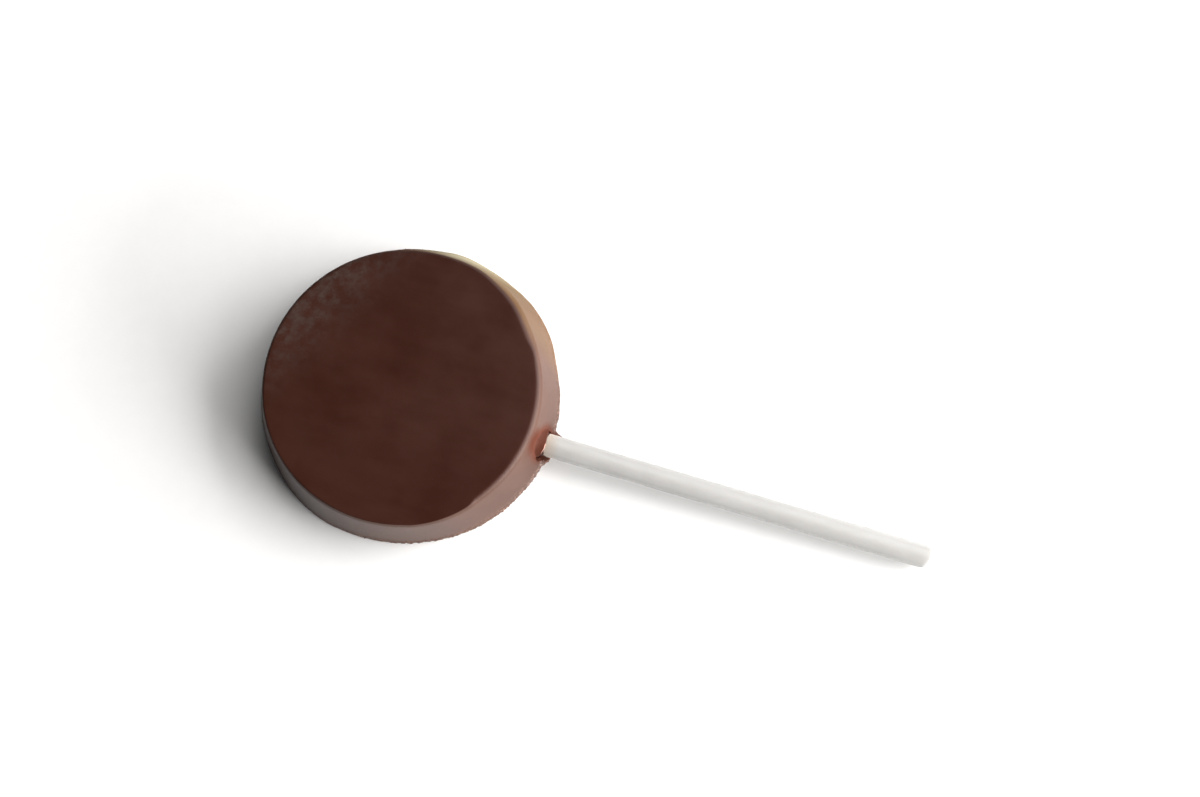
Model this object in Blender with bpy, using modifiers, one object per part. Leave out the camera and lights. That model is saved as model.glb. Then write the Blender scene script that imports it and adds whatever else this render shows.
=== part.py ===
"""Chocolate lollipop, lying on its poured side: a moulded chocolate disc on a rolled paper stick.

Run with: blender --background --python part.py
Metres, +Z up. The origin is the centre of the disc's underside. The stick runs towards +X.
"""

import math

import bmesh
import bpy
from mathutils import Matrix, noise

MM = 0.001

# The disc: a shallow cone frustum with its small, moulded face on top
BASE_RADIUS = 25.0 * MM
TOP_RADIUS = 22.35 * MM
DISC_HEIGHT = 8.4 * MM
TOP_ROUNDING = 0.9 * MM
BASE_ROUNDING = 0.25 * MM
ROUNDING_STEPS = 5
WALL_RINGS = 4
DISC_STEPS = 120

# The rough edge of the poured side, where the chocolate broke away from the mould
CRUMB_DEPTH = 0.12 * MM
CRUMB_REACH = 1.1 * MM
CRUMB_SIZE = 1.6 * MM

# The stick: rolled paper, half in the disc, its free end down on the table
STICK_RADIUS = 2.0 * MM
STICK_LENGTH = 88.9 * MM
STICK_SIDE_STEP = -2.13 * MM
STICK_HEIGHT_AT_WALL = 2.8 * MM
STICK_END_CLEARANCE = 0.03 * MM
STICK_INNER_END_X = 0.1 * MM
STICK_END_ROUNDING = 0.22 * MM
STICK_SIDES = 48

# The collar of chocolate that crept along the stick, and the thin web beside it at the base
COLLAR_ROOT_RADIUS = 3.3 * MM
COLLAR_TIP_RADIUS = 2.62 * MM
COLLAR_ROOT_X = 21.9 * MM
COLLAR_TIP_X = 25.2 * MM
COLLAR_FAR_SIDE_REACH = 0.3 * MM
COLLAR_SIDES = 40
COLLAR_FLOOR = 0.2 * MM
WEB_BOTTOM = 0.12 * MM
WEB_THICKNESS = 0.9 * MM
WEB_ROOT_X = 23.4 * MM
WEB_FAR_SIDE_TIP_X = 26.7 * MM
WEB_NEAR_SIDE_TIP_X = 26.3 * MM
WEB_FAR_SIDE_WIDTH = 0.6 * MM
WEB_NEAR_SIDE_WIDTH = 1.6 * MM
WEB_TIP_HALF_WIDTH = 2.45 * MM
WEB_ARC_STEPS = 8

GAP = 0.3 * MM
HOLE_OVERRUN = 4.0 * MM

WALL_LEAN = (BASE_RADIUS - TOP_RADIUS) / DISC_HEIGHT
STICK_END_X = STICK_INNER_END_X + STICK_LENGTH
STICK_END_HEIGHT = STICK_RADIUS + STICK_END_CLEARANCE
STICK_FALL = (STICK_HEIGHT_AT_WALL - STICK_END_HEIGHT) / (STICK_END_X - BASE_RADIUS)
STICK_PITCH = math.atan(STICK_FALL)

CHOCOLATE_COLOUR = (0.058, 0.022, 0.016, 1.0)
PAPER_COLOUR = (0.80, 0.79, 0.77, 1.0)


def clear_scene():
    for obj in list(bpy.data.objects):
        bpy.data.objects.remove(obj, do_unlink=True)


def make_collection(name):
    collection = bpy.data.collections.new(name)
    bpy.context.scene.collection.children.link(collection)
    return collection


def make_material(name, colour, roughness):
    material = bpy.data.materials.new(name)
    material.use_nodes = True
    shader = material.node_tree.nodes["Principled BSDF"]
    shader.inputs["Base Color"].default_value = colour
    shader.inputs["Roughness"].default_value = roughness
    shader.inputs["Metallic"].default_value = 0.0
    material.diffuse_color = colour
    return material


def add_object(name, mesh, collection):
    obj = bpy.data.objects.new(name, mesh)
    collection.objects.link(obj)
    return obj


def hide_guide(obj):
    obj.hide_render = True
    obj.display_type = "WIRE"


def stick_axis_height(x):
    """Height of the stick's axis above the table at a place along +X."""
    return STICK_HEIGHT_AT_WALL - STICK_FALL * (x - BASE_RADIUS)


def stick_frame(x):
    """Placement whose local +Z runs out along the stick, with its origin on the axis at x."""
    place = Matrix.Translation((x, STICK_SIDE_STEP, stick_axis_height(x)))
    return place @ Matrix.Rotation(math.pi / 2 + STICK_PITCH, 4, "Y")


def disc_profile():
    """Half outline of the disc, from the middle of the top, down the wall, to the middle of the base."""
    wall_angle = math.atan2(DISC_HEIGHT, BASE_RADIUS - TOP_RADIUS)
    points = [(0.0, DISC_HEIGHT)]

    turn = wall_angle
    back = TOP_ROUNDING * math.tan(turn / 2)
    centre_r = TOP_RADIUS - back
    centre_z = DISC_HEIGHT - TOP_ROUNDING
    for i in range(ROUNDING_STEPS + 1):
        angle = turn * i / ROUNDING_STEPS
        r = centre_r + TOP_ROUNDING * math.sin(angle)
        z = centre_z + TOP_ROUNDING * math.cos(angle)
        points.append((r, z))

    wall_top = points[-1]
    base_turn = math.pi - wall_angle
    base_back = BASE_ROUNDING * math.tan(base_turn / 2)
    base_centre_r = BASE_RADIUS - base_back
    wall_foot_r = base_centre_r + BASE_ROUNDING * math.sin(wall_angle)
    wall_foot_z = BASE_ROUNDING + BASE_ROUNDING * math.cos(wall_angle)
    for i in range(1, WALL_RINGS):
        share = 1 - (1 - i / WALL_RINGS) ** 2
        r = wall_top[0] + (wall_foot_r - wall_top[0]) * share
        z = wall_top[1] + (wall_foot_z - wall_top[1]) * share
        points.append((r, z))
    for i in range(ROUNDING_STEPS):
        angle = wall_angle + base_turn * i / (ROUNDING_STEPS - 1)
        r = base_centre_r + BASE_ROUNDING * math.sin(angle)
        z = BASE_ROUNDING + BASE_ROUNDING * math.cos(angle)
        points.append((r, z))
    points.append((0.0, 0.0))
    return points


def turned_mesh(name, profile, steps, collection):
    """Turns a profile about Z with a Screw modifier and returns the plain mesh."""
    mesh = bpy.data.meshes.new(name + "_profile")
    vertices = [(r, 0.0, z) for r, z in profile]
    edges = [(i, i + 1) for i in range(len(profile) - 1)]
    mesh.from_pydata(vertices, edges, [])
    guide = add_object(name + "_profile", mesh, collection)
    screw = guide.modifiers.new("Turn", "SCREW")
    screw.axis = "Z"
    screw.angle = 2 * math.pi
    screw.steps = steps
    screw.render_steps = steps
    screw.use_merge_vertices = True
    screw.merge_threshold = 0.01 * MM
    turned = bpy.data.meshes.new_from_object(guide.evaluated_get(bpy.context.evaluated_depsgraph_get()))
    bpy.data.objects.remove(guide, do_unlink=True)
    turned.name = name
    return turned


def roughen_base_edge(mesh):
    """Breaks the edge of the poured side with small crumbly bumps that fade out up the wall."""
    for vertex in mesh.vertices:
        radius = math.hypot(vertex.co.x, vertex.co.y)
        if radius < BASE_RADIUS / 2 or vertex.co.z > CRUMB_REACH:
            continue
        fade = 1 - vertex.co.z / CRUMB_REACH
        bump = CRUMB_DEPTH * fade * noise.noise(vertex.co / CRUMB_SIZE)
        vertex.co.x += bump * vertex.co.x / radius
        vertex.co.y += bump * vertex.co.y / radius


def make_disc(collection, guides):
    mesh = turned_mesh("chocolate", disc_profile(), DISC_STEPS, guides)
    roughen_base_edge(mesh)
    return add_object("chocolate", mesh, collection)


def make_collar(guides):
    """A short cone round the stick, whose end slants with the wall and runs on along the far side."""
    mesh = bpy.data.meshes.new("collar")
    shape = bmesh.new()
    depth = COLLAR_TIP_X - COLLAR_ROOT_X
    middle = (COLLAR_ROOT_X + COLLAR_TIP_X) / 2
    bmesh.ops.create_cone(
        shape,
        cap_ends=True,
        segments=COLLAR_SIDES,
        radius1=COLLAR_ROOT_RADIUS,
        radius2=COLLAR_TIP_RADIUS,
        depth=depth,
    )
    bmesh.ops.transform(shape, matrix=stick_frame(middle), verts=shape.verts)
    for vertex in shape.verts:
        if vertex.co.x > middle:
            far_share = max(0.0, (vertex.co.y - STICK_SIDE_STEP) / COLLAR_TIP_RADIUS)
            vertex.co.x -= WALL_LEAN * (vertex.co.z - stick_axis_height(COLLAR_TIP_X))
            vertex.co.x += COLLAR_FAR_SIDE_REACH * far_share**2
        vertex.co.z = max(vertex.co.z, COLLAR_FLOOR)
    shape.to_mesh(mesh)
    shape.free()
    collar = add_object("collar", mesh, guides)
    hide_guide(collar)
    return collar


def web_side(tip_x, width, direction):
    """A quarter of an oval from the wall to the stick's side, hollow like a fillet."""
    points = []
    for i in range(WEB_ARC_STEPS + 1):
        angle = math.pi / 2 * i / WEB_ARC_STEPS
        x = WEB_ROOT_X + (tip_x - WEB_ROOT_X) * (1 - math.cos(angle))
        half = WEB_TIP_HALF_WIDTH + width * (1 - math.sin(angle))
        points.append((x, STICK_SIDE_STEP + direction * half))
    return points


def make_web(guides):
    """A thin plate that fills the corners between wall and stick at the base."""
    curve = bpy.data.curves.new("web", "CURVE")
    curve.dimensions = "2D"
    curve.fill_mode = "BOTH"
    curve.extrude = WEB_THICKNESS / 2
    outline = web_side(WEB_FAR_SIDE_TIP_X, WEB_FAR_SIDE_WIDTH, 1)
    outline += reversed(web_side(WEB_NEAR_SIDE_TIP_X, WEB_NEAR_SIDE_WIDTH, -1))
    spline = curve.splines.new("POLY")
    spline.points.add(len(outline) - 1)
    for point, (x, y) in zip(spline.points, outline):
        point.co = (x, y, 0.0, 1.0)
    spline.use_cyclic_u = True
    guide = add_object("web_outline", curve, guides)
    guide.location.z = WEB_BOTTOM + WEB_THICKNESS / 2
    bpy.context.view_layer.update()
    mesh = bpy.data.meshes.new_from_object(guide.evaluated_get(bpy.context.evaluated_depsgraph_get()))
    placement = guide.matrix_world.copy()
    bpy.data.objects.remove(guide, do_unlink=True)
    weld(mesh)
    web = add_object("web", mesh, guides)
    web.matrix_world = placement
    hide_guide(web)
    return web


def weld(mesh):
    shape = bmesh.new()
    shape.from_mesh(mesh)
    bmesh.ops.remove_doubles(shape, verts=shape.verts, dist=0.001 * MM)
    bmesh.ops.recalc_face_normals(shape, faces=shape.faces)
    shape.to_mesh(mesh)
    shape.free()


def make_stick_hole(guides):
    """The blind hole round the stick, with a hair of room all round and past its inner end."""
    start = STICK_INNER_END_X - GAP
    end = WEB_FAR_SIDE_TIP_X + HOLE_OVERRUN
    mesh = bpy.data.meshes.new("stick_hole")
    shape = bmesh.new()
    bmesh.ops.create_cone(
        shape,
        cap_ends=True,
        segments=STICK_SIDES,
        radius1=STICK_RADIUS + GAP,
        radius2=STICK_RADIUS + GAP,
        depth=(end - start) / math.cos(STICK_PITCH),
    )
    bmesh.ops.transform(shape, matrix=stick_frame((start + end) / 2), verts=shape.verts)
    shape.to_mesh(mesh)
    shape.free()
    hole = add_object("stick_hole", mesh, guides)
    hide_guide(hole)
    return hole


def add_boolean(obj, operation, other):
    modifier = obj.modifiers.new(other.name, "BOOLEAN")
    modifier.operation = operation
    modifier.solver = "EXACT"
    modifier.object = other


def make_stick(collection):
    mesh = bpy.data.meshes.new("paper_stick")
    shape = bmesh.new()
    bmesh.ops.create_cone(
        shape,
        cap_ends=True,
        segments=STICK_SIDES,
        radius1=STICK_RADIUS,
        radius2=STICK_RADIUS,
        depth=STICK_LENGTH,
    )
    shape.to_mesh(mesh)
    shape.free()
    stick = add_object("paper_stick", mesh, collection)
    stick.matrix_world = stick_frame(STICK_INNER_END_X + STICK_LENGTH / 2)
    bevel = stick.modifiers.new("Worn ends", "BEVEL")
    bevel.width = STICK_END_ROUNDING
    bevel.segments = 2
    bevel.limit_method = "ANGLE"
    bevel.angle_limit = math.radians(60)
    return stick


def smooth(obj, angle):
    obj.data.shade_smooth()
    obj.data.set_sharp_from_angle(angle=angle)


def main():
    clear_scene()
    parts = make_collection("chocolate_lollipop")
    guides = make_collection("cutters")

    chocolate = make_disc(parts, guides)
    add_boolean(chocolate, "UNION", make_collar(guides))
    add_boolean(chocolate, "UNION", make_web(guides))
    add_boolean(chocolate, "DIFFERENCE", make_stick_hole(guides))
    chocolate.data.materials.append(make_material("chocolate", CHOCOLATE_COLOUR, 0.34))
    smooth(chocolate, math.radians(35))

    stick = make_stick(parts)
    stick.data.materials.append(make_material("white_paper", PAPER_COLOUR, 0.8))
    smooth(stick, math.radians(35))


main()
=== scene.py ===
import math

import bmesh
import bpy
import numpy as np
from mathutils import Matrix, Vector
from mathutils.noise import noise_vector as noiseVector, seed_set as seedNoise


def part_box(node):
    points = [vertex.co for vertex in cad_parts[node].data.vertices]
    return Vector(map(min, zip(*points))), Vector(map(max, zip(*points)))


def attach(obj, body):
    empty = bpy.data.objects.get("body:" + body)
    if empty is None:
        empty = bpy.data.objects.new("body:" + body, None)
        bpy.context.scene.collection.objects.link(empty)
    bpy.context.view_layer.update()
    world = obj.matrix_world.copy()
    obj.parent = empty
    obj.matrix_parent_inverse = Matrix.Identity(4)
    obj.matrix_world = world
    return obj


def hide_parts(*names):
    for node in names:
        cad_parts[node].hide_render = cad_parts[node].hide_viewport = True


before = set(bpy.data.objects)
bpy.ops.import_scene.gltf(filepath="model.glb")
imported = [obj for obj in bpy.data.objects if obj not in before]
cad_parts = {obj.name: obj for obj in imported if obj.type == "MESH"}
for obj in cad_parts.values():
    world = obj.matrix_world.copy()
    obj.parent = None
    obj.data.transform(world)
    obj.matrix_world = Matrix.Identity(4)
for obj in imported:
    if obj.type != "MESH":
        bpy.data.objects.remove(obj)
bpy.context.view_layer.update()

mm = 0.001
cornerSteps = 12  # points on each rounded corner of a turned outline
mergeDistance = 0.001 * mm  # points this close become one
leastAway = 0.01 * mm  # keeps a division by the distance from the middle line safe
discLow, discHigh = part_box("chocolate")
stickLow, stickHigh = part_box("paper_stick")

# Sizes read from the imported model
baseRadius = (discHigh.y - discLow.y) / 2
discHeight = discHigh.z
stickRadius = (stickHigh.y - stickLow.y) / 2
stickSideStep = (stickHigh.y + stickLow.y) / 2
stickLength = stickHigh.x - stickLow.x
stickInnerHeight = stickHigh.z - stickRadius
stickFarHeight = stickLow.z + stickRadius
stickFall = (stickInnerHeight - stickFarHeight) / stickLength
print("frame loaded, disc radius", round(baseRadius / mm, 2), "mm")


def axisHeight(x):
    # The stick's middle line above the table
    return stickInnerHeight - stickFall * (x - stickLow.x)


# Short ways to write a node tree
def connect(tree, socket, value):
    if isinstance(value, bpy.types.NodeSocket):
        tree.links.new(value, socket)
    elif value is not None:
        socket.default_value = value


def addNode(tree, kind, *values, **settings):
    made = tree.nodes.new(kind)
    for key, value in settings.items():
        setattr(made, key, value)
    for socket, value in zip(made.inputs, values):
        connect(tree, socket, value)
    return made


def calc(tree, operation, *values):
    return addNode(tree, "ShaderNodeMath", *values, operation=operation).outputs[0]


def multiply(tree, first, *others):
    for other in others:
        first = calc(tree, "MULTIPLY", first, other)
    return first


def add(tree, first, *others):
    for other in others:
        first = calc(tree, "ADD", first, other)
    return first


def subtract(tree, first, second):
    return calc(tree, "SUBTRACT", first, second)


def divide(tree, first, second):
    return calc(tree, "DIVIDE", first, second)


def larger(tree, first, second):
    return calc(tree, "MAXIMUM", first, second)


def diagonal(tree, first, second):
    # The straight length of two steps at right angles
    return calc(tree, "SQRT", add(tree, multiply(tree, first, first), multiply(tree, second, second)))


def remap(tree, value, fromLow, fromHigh, toLow=0.0, toHigh=1.0, curve="SMOOTHSTEP"):
    return addNode(
        tree, "ShaderNodeMapRange", value, fromLow, fromHigh, toLow, toHigh, interpolation_type=curve
    ).outputs[0]


def fade(tree, value, fromLow, fromHigh):
    # One up to the low value, falling to nothing at the high one
    return remap(tree, value, fromLow, fromHigh, 1.0, 0.0)


def split(tree, vector):
    return addNode(tree, "ShaderNodeSeparateXYZ", vector).outputs


def combine(tree, x, y, z):
    return addNode(tree, "ShaderNodeCombineXYZ", x, y, z).outputs[0]


def noise(tree, vector, size, seed=0.0, detail=2.0, rough=0.5):
    made = addNode(tree, "ShaderNodeTexNoise", noise_dimensions="4D")
    connect(tree, made.inputs["Vector"], vector)
    connect(tree, made.inputs["W"], seed)
    inverse = 1.0 / size if isinstance(size, float) else divide(tree, 1.0, size)
    connect(tree, made.inputs["Scale"], inverse)
    connect(tree, made.inputs["Detail"], detail)
    connect(tree, made.inputs["Roughness"], rough)
    return made.outputs[0]


def mixColour(tree, share, first, second):
    made = addNode(tree, "ShaderNodeMix", share, data_type="RGBA")
    connect(tree, made.inputs[6], first)
    connect(tree, made.inputs[7], second)
    return made.outputs[2]


# Geometry trees
def startTree(name, inputs, takesMesh=False):
    tree = bpy.data.node_groups.new(name, "GeometryNodeTree")
    if takesMesh:
        tree.interface.new_socket("Mesh", in_out="INPUT", socket_type="NodeSocketGeometry")
    for title, kind in inputs.items():
        tree.interface.new_socket(title, in_out="INPUT", socket_type="NodeSocket" + kind)
    tree.interface.new_socket("Mesh", in_out="OUTPUT", socket_type="NodeSocketGeometry")
    given = tree.nodes.new("NodeGroupInput").outputs
    return tree, given


def endTree(tree, geometry, material):
    realized = addNode(tree, "GeometryNodeRealizeInstances", geometry)
    painted = addNode(tree, "GeometryNodeSetMaterial", realized.outputs[0])
    connect(tree, painted.inputs["Material"], material)
    end = tree.nodes.new("NodeGroupOutput")
    tree.links.new(painted.outputs[0], end.inputs[0])


def growMesh(name, tree, values, start=None):
    guide = bpy.data.objects.new(name + "_guide", start or bpy.data.meshes.new(name + "_guide"))
    bpy.context.scene.collection.objects.link(guide)
    modifier = guide.modifiers.new(name, "NODES")
    modifier.node_group = tree
    for item in tree.interface.items_tree:
        if item.in_out == "INPUT" and item.name in values:
            modifier[item.identifier] = values[item.name]
    graph = bpy.context.evaluated_depsgraph_get()
    mesh = bpy.data.meshes.new_from_object(guide.evaluated_get(graph))
    guide.modifiers.remove(modifier)
    bpy.data.objects.remove(guide, do_unlink=True)
    mesh.name = name
    piece = bpy.data.objects.new(name, mesh)
    bpy.context.scene.collection.objects.link(piece)
    print(name, len(mesh.polygons), "faces")
    return piece


def pace(tree, share, shares, stops):
    # Walks to each stop at its own pace, so the points crowd where the detail is
    total = None
    lastShare, lastStop = 0.0, 0.0
    for nextShare, stop in zip(shares, stops):
        step = subtract(tree, stop, lastStop)
        part = multiply(tree, step, remap(tree, share, lastShare, nextShare, curve="LINEAR"))
        total = part if total is None else add(tree, total, part)
        lastShare, lastStop = nextShare, stop
    return total


def aroundCurve(tree, angle, start, points):
    # A value that changes round the disc, given at angles in degrees from the start
    share = divide(tree, subtract(tree, angle, start), 2 * math.pi)
    made = addNode(tree, "ShaderNodeFloatCurve", 1.0, share)
    line = made.mapping.curves[0].points
    line[0].location = (0.0, points[0][1])
    line[1].location = (1.0, points[-1][1])
    for degrees, value in points[1:-1]:
        line.new(degrees / 360.0, value)
    made.mapping.update()
    return made.outputs[0]


def turnedProfile(tree, given):
    # Half outline of a turned form: top middle, upper corner, lower corner, bottom middle
    outline = addNode(tree, "GeometryNodeCurvePrimitiveQuadrilateral", mode="POINTS")
    corners = (
        combine(tree, 0.0, 0.0, given["Height"]),
        combine(tree, given["Top Radius"], 0.0, given["Height"]),
        combine(tree, given["Base Radius"], 0.0, 0.0),
        combine(tree, 0.0, 0.0, 0.0),
    )
    for number, corner in enumerate(corners, 1):
        tree.links.new(corner, outline.inputs["Point %d" % number])
    index = tree.nodes.new("GeometryNodeInputIndex").outputs[0]
    topPart = multiply(tree, calc(tree, "COMPARE", index, 1.0, 0.1), given["Top Rounding"])
    basePart = multiply(tree, calc(tree, "COMPARE", index, 2.0, 0.1), given["Base Rounding"])
    rounded = addNode(tree, "GeometryNodeFilletCurve", outline.outputs[0], mode="POLY")
    connect(tree, rounded.inputs["Count"], cornerSteps)
    connect(tree, rounded.inputs["Radius"], add(tree, topPart, basePart))
    around = addNode(tree, "GeometryNodeCurveLength", rounded.outputs[0]).outputs[0]
    openLength = subtract(tree, around, given["Height"])
    return rounded.outputs[0], openLength


def turnedGrid(tree, given):
    grid = addNode(
        tree, "GeometryNodeMeshGrid", 1.0, 1.0, given["Columns"], given["Rows"]
    ).outputs[0]
    place = split(tree, tree.nodes.new("GeometryNodeInputPosition").outputs[0])
    across = add(tree, place[0], 0.5)
    along = add(tree, place[1], 0.5)
    return grid, across, along


def samplePoint(tree, curve, length):
    sample = addNode(tree, "GeometryNodeSampleCurve", mode="LENGTH")
    connect(tree, sample.inputs["Curves"], curve)
    connect(tree, sample.inputs["Length"], length)
    place = split(tree, sample.outputs["Position"])
    return place[0], place[2]


def placeOnCircle(tree, grid, radius, height, angle):
    spot = combine(
        tree,
        multiply(tree, radius, calc(tree, "COSINE", angle)),
        multiply(tree, radius, calc(tree, "SINE", angle)),
        height,
    )
    turned = addNode(tree, "GeometryNodeSetPosition", grid)
    connect(tree, turned.inputs["Position"], spot)
    flipped = addNode(tree, "GeometryNodeFlipFaces", turned.outputs[0])
    merged = addNode(tree, "GeometryNodeMergeByDistance", flipped.outputs[0])
    connect(tree, merged.inputs["Distance"], mergeDistance)
    return merged.outputs[0]


def measurePoints(tree):
    # Each point's place, and how far it is from the upright line through the middle
    position = tree.nodes.new("GeometryNodeInputPosition").outputs[0]
    x, y, z = split(tree, position)
    away = larger(tree, diagonal(tree, x, y), leastAway)
    return position, x, y, z, away


def towardSide(tree, x, y, away, side):
    # From -1 on the far side of the middle line to 1 straight towards the side
    alongX = multiply(tree, x, calc(tree, "COSINE", side))
    alongY = multiply(tree, y, calc(tree, "SINE", side))
    return divide(tree, add(tree, alongX, alongY), away)


def shiftPoints(tree, geometry, offset):
    moved = addNode(tree, "GeometryNodeSetPosition", geometry)
    connect(tree, moved.inputs["Offset"], offset)
    return moved.outputs[0]


def discTree(settings):
    tree, given = startTree(
        "turned chocolate disc",
        {
            "Base Radius": "Float",
            "Top Radius": "Float",
            "Height": "Float",
            "Top Rounding": "Float",
            "Base Rounding": "Float",
            "Columns": "Int",
            "Rows": "Int",
            "First Angle": "Float",
            "Drift": "Float",
            "Top Dip": "Float",
            "Wall Wave": "Float",
            "Underside Dip": "Float",
            "Crumb Depth": "Float",
            "Crumb Size": "Float",
            "Crumb Reach": "Float",
            "Crumb Side": "Float",
            "Seed": "Float",
            "Material": "Material",
        },
    )
    curve, openLength = turnedProfile(tree, given)
    grid, across, along = turnedGrid(tree, given)
    rimStart = subtract(tree, given["Top Radius"], settings["rimBand"])
    underEdge = subtract(tree, openLength, subtract(tree, given["Base Radius"], settings["underBand"]))
    length = pace(tree, along, settings["rowShares"], (rimStart, underEdge, openLength))
    radius, height = samplePoint(tree, curve, length)
    turns = [math.radians(stop) for stop in settings["columnStops"]]
    angle = add(tree, given["First Angle"], pace(tree, across, settings["columnShares"], turns))

    # The upper edge is worn round in some places and crisp in others
    kept = aroundCurve(tree, angle, given["First Angle"], settings["edgeWear"])
    fromCornerOut = subtract(tree, radius, given["Top Radius"])
    fromCornerUp = subtract(tree, height, given["Height"])
    cornerDistance = diagonal(tree, fromCornerOut, fromCornerUp)
    pull = remap(tree, cornerDistance, *settings["wearReach"], kept, 1.0)
    radius = add(tree, given["Top Radius"], multiply(tree, fromCornerOut, pull))
    height = add(tree, given["Height"], multiply(tree, fromCornerUp, pull))

    # Both edges wander a little in and out
    rimDrift = add(tree, aroundCurve(tree, angle, given["First Angle"], settings["rimDrift"]), -0.5)
    topDrift = add(tree, aroundCurve(tree, angle, given["First Angle"], settings["topDrift"]), -0.5)
    highShare = divide(tree, height, given["Height"])
    lowShare = subtract(tree, 1.0, highShare)
    driftStart = subtract(tree, given["Base Radius"], settings["driftReach"])
    drift = multiply(
        tree,
        add(tree, multiply(tree, rimDrift, lowShare), multiply(tree, topDrift, highShare)),
        remap(tree, radius, driftStart, given["Top Radius"]),
        given["Drift"],
    )
    radius = add(tree, radius, drift)
    body = placeOnCircle(tree, grid, radius, height, angle)

    # Relief: a breath of unevenness everywhere, and a crumbly edge on the poured side
    position, x, y, z, away = measurePoints(tree)
    broad = noise(tree, position, settings["waveSize"], given["Seed"], 1.0)
    crumb = noise(tree, position, given["Crumb Size"], given["Seed"], 3.0, 0.62)
    towardCrumbs = towardSide(tree, x, y, away, given["Crumb Side"])
    crumbStart = subtract(tree, given["Base Radius"], settings["crumbBand"])
    crumbAmount = multiply(
        tree,
        remap(tree, towardCrumbs, *settings["crumbSpread"], settings["crumbLeast"], 1.0),
        fade(tree, z, 0.0, given["Crumb Reach"]),
        remap(tree, away, crumbStart, given["Base Radius"]),
        given["Crumb Depth"],
    )
    crumbShift = multiply(tree, crumbAmount, add(tree, crumb, -0.5), settings["crumbGain"])
    sideShare = multiply(
        tree,
        remap(tree, z, 0.0, settings["sideFade"]),
        fade(tree, z, subtract(tree, given["Height"], settings["sideFade"]), given["Height"]),
    )
    waveShift = multiply(tree, sideShare, given["Wall Wave"], add(tree, broad, -0.5))
    outward = divide(tree, add(tree, crumbShift, waveShift), away)
    topFade = subtract(tree, given["Top Radius"], settings["faceFade"])
    topShare = multiply(
        tree,
        remap(tree, z, subtract(tree, given["Height"], settings["topSkin"]), given["Height"]),
        fade(tree, away, topFade, given["Top Radius"]),
    )
    underFade = subtract(tree, given["Base Radius"], settings["faceFade"])
    underShare = multiply(
        tree,
        fade(tree, z, 0.0, settings["underSkin"]),
        fade(tree, away, underFade, given["Base Radius"]),
    )
    fall = multiply(tree, topShare, broad, given["Top Dip"], -1.0)
    rise = multiply(tree, underShare, broad, given["Underside Dip"])
    offset = combine(tree, multiply(tree, x, outward), multiply(tree, y, outward), add(tree, fall, rise))
    body = shiftPoints(tree, body, offset)
    smoothed = addNode(tree, "GeometryNodeSetShadeSmooth", body).outputs[0]
    endTree(tree, smoothed, given["Material"])
    return tree


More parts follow.
